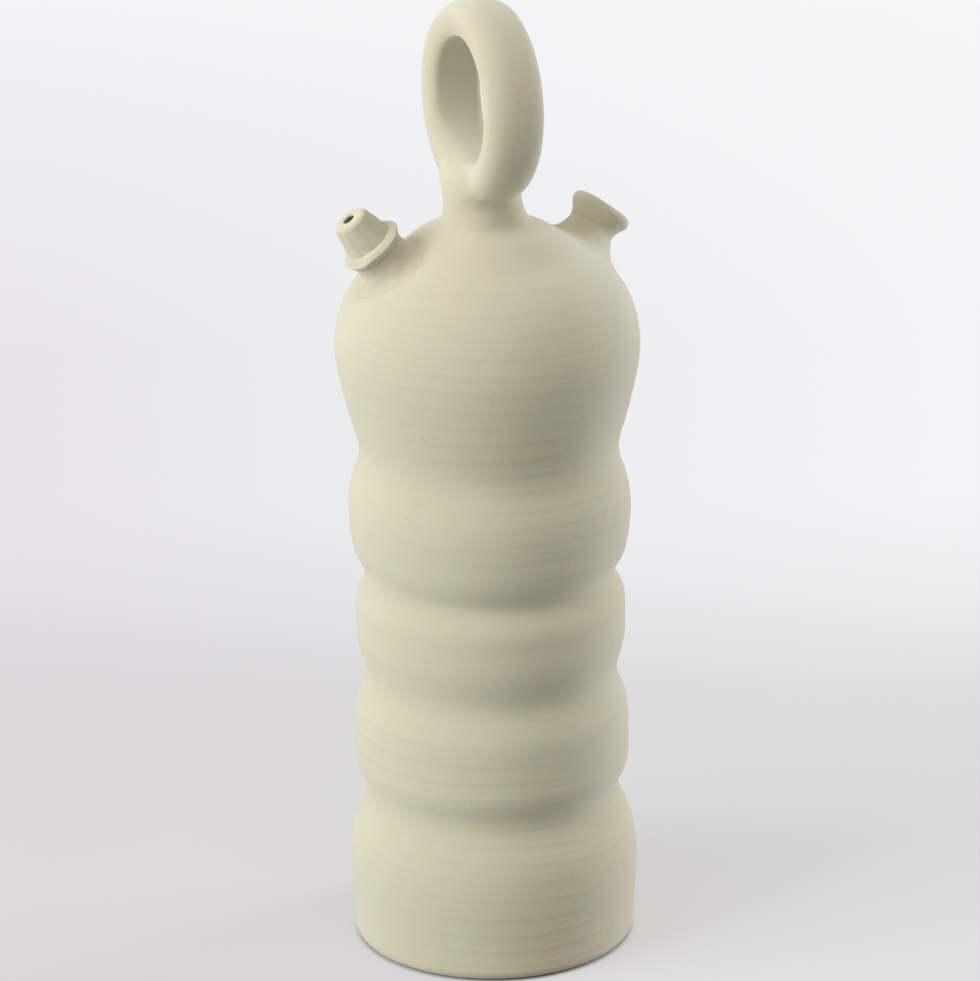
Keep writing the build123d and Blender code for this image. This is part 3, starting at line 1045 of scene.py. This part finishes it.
def clay_material(name, own_frame=None):
    """Dry unglazed clay, whose lines run round the Z axis of a piece's own frame or of the jar."""
    if name in bpy.data.materials:
        return bpy.data.materials[name]
    clay = bpy.context.scene.jar_clay
    line_share, grain_share = CLAYS[name]
    material = bpy.data.materials.new(name)
    tree = cleared_tree(material)
    place = add(tree, "ShaderNodeTexCoord", (-900, 0)).outputs["Object"]
    own = {"Vector": place}
    if own_frame:
        own.update(Location=own_frame.to_translation(), Rotation=own_frame.to_euler())
    own_place = add(tree, "ShaderNodeMapping", (-760, 250), own, vector_type="TEXTURE").outputs[0]
    lines = group_node(tree, (-600, 200), own_place, "Throwing lines", ("Height", "Scratches"),
                       throwing_lines)
    grain = group_node(tree, (-600, 0), place, "Clay grain", ("Height", "Pits"), clay_grain)
    mottle = group_node(tree, (-600, -200), place, "Clay mottle", ("Patches",), clay_mottle)
    warm = mixed(tree, (-200, -200), mottle["Patches"], clay.colour, clay.warm_colour)
    # Painted shade: the finest scratches and the open pits darken the clay's colour, standing in
    # for the shade inside them.
    painted_mark_shade = maths(tree, "MAXIMUM", (-100, 200),
                  maths(tree, "MULTIPLY", (-300, 250), lines["Scratches"], 0.30 * line_share),
                  maths(tree, "MULTIPLY", (-300, 50), grain["Pits"], 0.75))
    relief = maths(tree, "MULTIPLY_ADD", (0, 400), lines["Height"], line_share,
                   maths(tree, "MULTIPLY", (-200, 400), grain["Height"], grain_share))
    bump = add(tree, "ShaderNodeBump", (300, 300),
               {"Height": relief, "Strength": 1.0, "Distance": RELIEF_DEPTH})
    surface = add(tree, "ShaderNodeBsdfPrincipled", (600, 0),
                  {"Base Color": mixed(tree, (100, -100), painted_mark_shade, warm, clay.mark_shade_colour),
                   "Roughness": clay.roughness, "Specular IOR Level": 0.3,
                   "Diffuse Roughness": 0.7, "Sheen Weight": 0.30, "Sheen Roughness": 0.6,
                   "Normal": bump.outputs["Normal"]})
    add(tree, "ShaderNodeOutputMaterial", (900, 0), {"Surface": surface.outputs[0]})
    return material


# Pieces, one operator for each group.


class JAR_OT_body(bpy.types.Operator):
    """Build the two thrown sections of the body"""

    bl_idname = "jar.body"
    bl_label = "Body"

    def execute(self, context):
        sizes = context.scene.jar_body
        material = clay_material("Thrown clay")
        points, faces = turned(lower_line(sizes), sizes.turns)
        make_piece("thrown_lower_body", points, faces, material, ["lower_body"])
        points, faces = turned(upper_line(sizes), sizes.turns)
        points[:, 0] += neck_shift(sizes, points[:, 2])
        upper = make_piece("thrown_upper_body", points, faces, material, ["upper_body"])
        mouth, spout = context.scene.jar_mouth, context.scene.jar_spout
        drill(upper, MOUNTS["filling_mouth"], (mouth.bore_radius + mouth.waist_radius) / 2)
        drill(upper, MOUNTS["pouring_bore"], (spout.seat_radius + spout.foot_radius) / 2)
        return {"FINISHED"}


def drill(piece, mount, radius):
    """Cuts a round hole through a piece along a mount's axis."""
    matrix = lean_frame(mount, 0.0)
    loop = np.array([(0.0, DRILL_LOW), (radius, DRILL_LOW), (radius, DRILL_HIGH),
                     (0.0, DRILL_HIGH)])
    points, faces = turned(loop, DRILL_TURNS)
    mesh = bpy.data.meshes.new("Drill")
    mesh.from_pydata(placed(points, matrix).tolist(), [], faces)
    tool = bpy.data.objects.new("Drill", mesh)
    bpy.context.scene.collection.objects.link(tool)
    cut = piece.modifiers.new("Hole", "BOOLEAN")
    cut.operation, cut.solver, cut.object = "DIFFERENCE", "EXACT", tool
    with bpy.context.temp_override(object=piece, active_object=piece):
        bpy.ops.object.modifier_apply(modifier=cut.name)
    bpy.data.objects.remove(tool)
    bpy.data.meshes.remove(mesh)


class JAR_OT_handle(bpy.types.Operator):
    """Build the ring handle and the clay that joins it to the neck"""

    bl_idname = "jar.handle"
    bl_label = "Handle"

    def execute(self, context):
        sizes = context.scene.jar_handle
        matrix = ring_frame(sizes)
        points, faces = ring_mesh(sizes)
        material = clay_material("Rolled clay")
        make_piece("rolled_ring", placed(points, matrix), faces, material, ["handle_ring"])
        body = dome_field(context.scene.jar_body)
        ring = placed_field(ring_field(sizes), matrix)
        low, high = (-34 * MM, -34 * MM, 334 * MM), (34 * MM, 34 * MM, 384 * MM)
        reach = sided_reach("ring_clay", matrix, sizes.side_blend, sizes.front_blend)
        press_clay("ring_clay", body, ring, reach, low, high, material, ["handle_luting"])
        return {"FINISHED"}


def solid_line(loop):
    """The outer part of a closed outline, joined to the axis at both ends."""
    top, bottom = loop[:, 1].max(), loop[:, 1].min()
    start = int(np.argmax(np.where(loop[:, 1] < bottom + 1e-6, loop[:, 0], -1.0)))
    loop = np.vstack([loop[start:-1], loop[:start + 1]])
    end = int(np.argmax(loop[:, 1]))
    return np.vstack([[(0.0, bottom)], loop[:end + 1], [(0.0, top)]])


def corner_box(matrix, reach, low, high):
    """World box round a disc of some reach, between two heights of a frame."""
    spots = placed(np.array([(x, y, z) for x in (-reach, reach) for y in (-reach, reach)
                             for z in (low, high)]), matrix)
    return tuple(spots.min(axis=0)), tuple(spots.max(axis=0))


def press_foot(name, node, line, matrix, reach, table_reach, box):
    """Adds the clay that is smoothed round the foot of a turned piece on the dome.

    The box is a radius and two heights in the piece's frame.
    """
    loop = solid_line(np.vstack([line, line[:1]]))
    tube = placed_field(outline_field(loop, table_reach), matrix)
    low, high = corner_box(matrix, *box)
    press_clay(name, dome_field(bpy.context.scene.jar_body), tube, reach, low, high,
               clay_material("Pressed clay"), [node])


class JAR_OT_mouth(bpy.types.Operator):
    """Build the filling mouth and the clay round its foot"""

    bl_idname = "jar.mouth"
    bl_label = "Filling mouth"

    def execute(self, context):
        sizes = context.scene.jar_mouth
        matrix = lean_frame(MOUNTS["filling_mouth"], MOUTH_OUT)
        line = mouth_line(sizes, FOOT_DEPTH)
        points, faces = turned(line, FITTING_TURNS, closed=True)
        points = fingered_shape(points, 0.12 * MM, 22.0 * MM, SEEDS["mouth"])
        material = clay_material("Thrown mouth clay", matrix)
        make_piece("thrown_mouth", placed(points, matrix), faces, material, ["filling_mouth"])
        reach = sided_reach("mouth_clay", matrix, sizes.back_blend, sizes.blend)
        press_foot("mouth_clay", "mouth_luting", line, matrix, reach,
                   table_reach=20.0 * MM, box=(36.0 * MM, -14.0 * MM, 18.0 * MM))
        return {"FINISHED"}


class JAR_OT_spout(bpy.types.Operator):
    """Build the pouring cone, its collar and the clay round its foot"""

    bl_idname = "jar.spout"
    bl_label = "Pouring spout"

    def execute(self, context):
        sizes = context.scene.jar_spout
        matrix = lean_frame(MOUNTS["pouring_bore"], SPOUT_OUT)
        material = clay_material("Thrown spout clay", matrix)
        line = collar_line(sizes, FOOT_DEPTH)
        points, faces = turned(line, FITTING_TURNS, closed=True)
        points = fingered_shape(points, 0.22 * MM, 16.0 * MM, SEEDS["spout"])
        make_piece("thrown_collar", placed(points, matrix), faces, material, ["spout_collar"])
        points, faces = turned(cone_line(sizes), FITTING_TURNS, closed=True)
        points = pared(points, PARED_CUTS, PARED_DEPTH, SEEDS["flats"])
        points = fingered_shape(points, 0.10 * MM, 16.0 * MM, SEEDS["spout"])
        make_piece("thrown_cone", placed(points, matrix), faces, material, ["pouring_spout"])
        reach = sided_reach("spout_clay", matrix, sizes.blend, sizes.blend)
        press_foot("spout_clay", "spout_luting", line, matrix, reach,
                   table_reach=12.0 * MM, box=(29.0 * MM, -10.0 * MM, 14.0 * MM))
        return {"FINISHED"}


class JAR_OT_stage(bpy.types.Operator):
    """Set up the camera, the lamps and the floor"""

    bl_idname = "jar.stage"
    bl_label = "Stage"

    def execute(self, context):
        stage = context.scene.jar_stage
        place_camera(stage)
        place_lamps(stage)
        lay_floor(stage)
        paint_world(stage)
        context.scene.view_settings.view_transform = "Standard"
        return {"FINISHED"}


def place_camera(stage):
    """Camera at the photograph's distance, height and roll."""
    camera = bpy.data.cameras.new("Camera")
    camera.lens, camera.sensor_width = stage.lens, 36.0
    camera.clip_start, camera.clip_end = 0.05, 100.0
    seat = bpy.data.objects.new("Camera", camera)
    bpy.context.scene.collection.objects.link(seat)
    tilt, roll = stage.camera_elevation, stage.camera_roll
    aim = Vector(stage.camera_aim)
    seat.location = aim + Vector((0.0, -math.cos(tilt), math.sin(tilt))) * stage.camera_distance
    look = (aim - seat.location).to_track_quat("-Z", "Y").to_matrix()
    seat.rotation_euler = (look @ Matrix.Rotation(roll, 3, "Z")).to_euler()
    bpy.context.scene.camera = seat


def place_lamps(stage):
    """Large soft key lamp on the left, one behind on the right and a weak one overhead."""
    for name, (power, place, size, colour) in LAMPS.items():
        lamp = bpy.data.lights.new(name, "AREA")
        lamp.shape, lamp.size, lamp.color = "SQUARE", size, colour
        lamp.energy = getattr(stage, power)
        seat = bpy.data.objects.new(name, lamp)
        seat.location = place
        seat.rotation_euler = (LAMP_AIM - Vector(place)).to_track_quat("-Z", "Y").to_euler()
        bpy.context.scene.collection.objects.link(seat)


def lay_floor(stage):
    """Large pale floor, which the camera sees turn into the backdrop behind the jar."""
    half = stage.floor_span / 2
    mesh = bpy.data.meshes.new("Floor")
    mesh.from_pydata([(-half, -half, 0), (half, -half, 0), (half, half, 0), (-half, half, 0)],
                     [], [(0, 1, 2, 3)])
    floor = bpy.data.objects.new("floor", mesh)
    bpy.context.scene.collection.objects.link(floor)
    material = bpy.data.materials.new("Floor")
    tree = cleared_tree(material)
    seen = add(tree, "ShaderNodeLightPath", (-400, -300)).outputs["Is Camera Ray"]
    place = add(tree, "ShaderNodeNewGeometry", (-800, 0)).outputs["Position"]
    split = add(tree, "ShaderNodeSeparateXYZ", (-600, 0), {0: place}).outputs
    near = add(tree, "ShaderNodeBsdfPrincipled", (0, 200),
               {"Base Color": mixed(tree, (-200, 300), seen, stage.bounce_colour,
                                    stage.floor_colour),
                "Roughness": 0.9, "Specular IOR Level": 0.1})
    slope = maths(tree, "DIVIDE", (-600, -500), split["X"],
                  maths(tree, "ADD", (-700, -600), split["Y"], stage.camera_distance))
    across = mixed(tree, (-200, -500), mapped(tree, (-400, -500), slope, -0.1, 0.1),
                   stage.left_colour, stage.right_colour)
    beyond = mixed(tree, (-100, -300), mapped(tree, (-400, -700), split["Y"], *FAR_FLOOR),
                   across, stage.far_colour)
    far = add(tree, "ShaderNodeEmission", (0, -200), {"Color": beyond, "Strength": 1.0})
    depth = mapped(tree, (-400, 0), split["Y"], *BACK_FLOOR, interpolation_type="SMOOTHSTEP")
    flat = add(tree, "ShaderNodeVectorMath", (-800, 300), {0: place, 1: (1.0, 1.0, 0.0)},
               operation="MULTIPLY")
    reach = add(tree, "ShaderNodeVectorMath", (-600, 300), {0: flat.outputs[0]},
                operation="LENGTH")
    edge = bpy.context.scene.jar_body.base_radius
    beside = mapped(tree, (-400, 300), reach.outputs["Value"], edge + LINE_FROM, edge + LINE_TO,
                    0.0, stage.glow_share)
    glow = maths(tree, "MULTIPLY", (-200, -100),
                 maths(tree, "MAXIMUM", (-300, -100), depth, beside), seen)
    mix = add(tree, "ShaderNodeMixShader", (300, 0),
              {"Fac": glow, 1: near.outputs[0], 2: far.outputs[0]})
    add(tree, "ShaderNodeOutputMaterial", (600, 0), {"Surface": mix.outputs[0]})
    mesh.materials.append(material)


def paint_world(stage):
    """Even fill light, and the backdrop's colour where the camera sees past the floor."""
    world = bpy.data.worlds.new("World")
    bpy.context.scene.world = world
    tree = cleared_tree(world)
    fill = add(tree, "ShaderNodeBackground", (0, 100),
               {"Color": (1.0, 0.99, 0.98, 1.0), "Strength": stage.fill_strength})
    seen = add(tree, "ShaderNodeBackground", (0, -100),
               {"Color": (*stage.far_colour, 1.0), "Strength": 1.0})
    ray = add(tree, "ShaderNodeLightPath", (-200, 300))
    mix = add(tree, "ShaderNodeMixShader", (200, 0),
              {"Fac": ray.outputs["Is Camera Ray"], 1: fill.outputs[0], 2: seen.outputs[0]})
    add(tree, "ShaderNodeOutputWorld", (400, 0), {"Surface": mix.outputs[0]})


class JAR_PT_panel(bpy.types.Panel):
    """Buttons and sizes in the sidebar"""

    bl_label = "Clay jar"
    bl_idname = "JAR_PT_panel"
    bl_space_type = "VIEW_3D"
    bl_region_type = "UI"
    bl_category = "Clay jar"

    def draw(self, context):
        scene = context.scene
        for group, operator in ((scene.jar_body, "jar.body"), (scene.jar_handle, "jar.handle"),
                                (scene.jar_mouth, "jar.mouth"), (scene.jar_spout, "jar.spout"),
                                (scene.jar_stage, "jar.stage"), (scene.jar_clay, None)):
            box = self.layout.box()
            for key in group.bl_rna.properties.keys():
                if key not in ("rna_type", "name"):
                    box.prop(group, key)
            if operator:
                box.operator(operator)


CLASSES = (JarBodySizes, JarHandleSizes, JarSpoutSizes, JarMouthSizes, JarClay, JarStage,
           JAR_OT_body, JAR_OT_handle, JAR_OT_mouth, JAR_OT_spout, JAR_OT_stage, JAR_PT_panel)
GROUPS = {"jar_body": JarBodySizes, "jar_handle": JarHandleSizes, "jar_spout": JarSpoutSizes,
          "jar_mouth": JarMouthSizes, "jar_clay": JarClay, "jar_stage": JarStage}


def register():
    for cls in CLASSES:
        bpy.utils.register_class(cls)
    for name, group in GROUPS.items():
        setattr(bpy.types.Scene, name, PointerProperty(type=group))


def unregister():
    for name in GROUPS:
        delattr(bpy.types.Scene, name)
    for cls in reversed(CLASSES):
        bpy.utils.unregister_class(cls)


def main():
    register()
    bpy.ops.jar.body()
    bpy.ops.jar.handle()
    bpy.ops.jar.mouth()
    bpy.ops.jar.spout()
    bpy.ops.jar.stage()


if __name__ == "__main__":
    main()
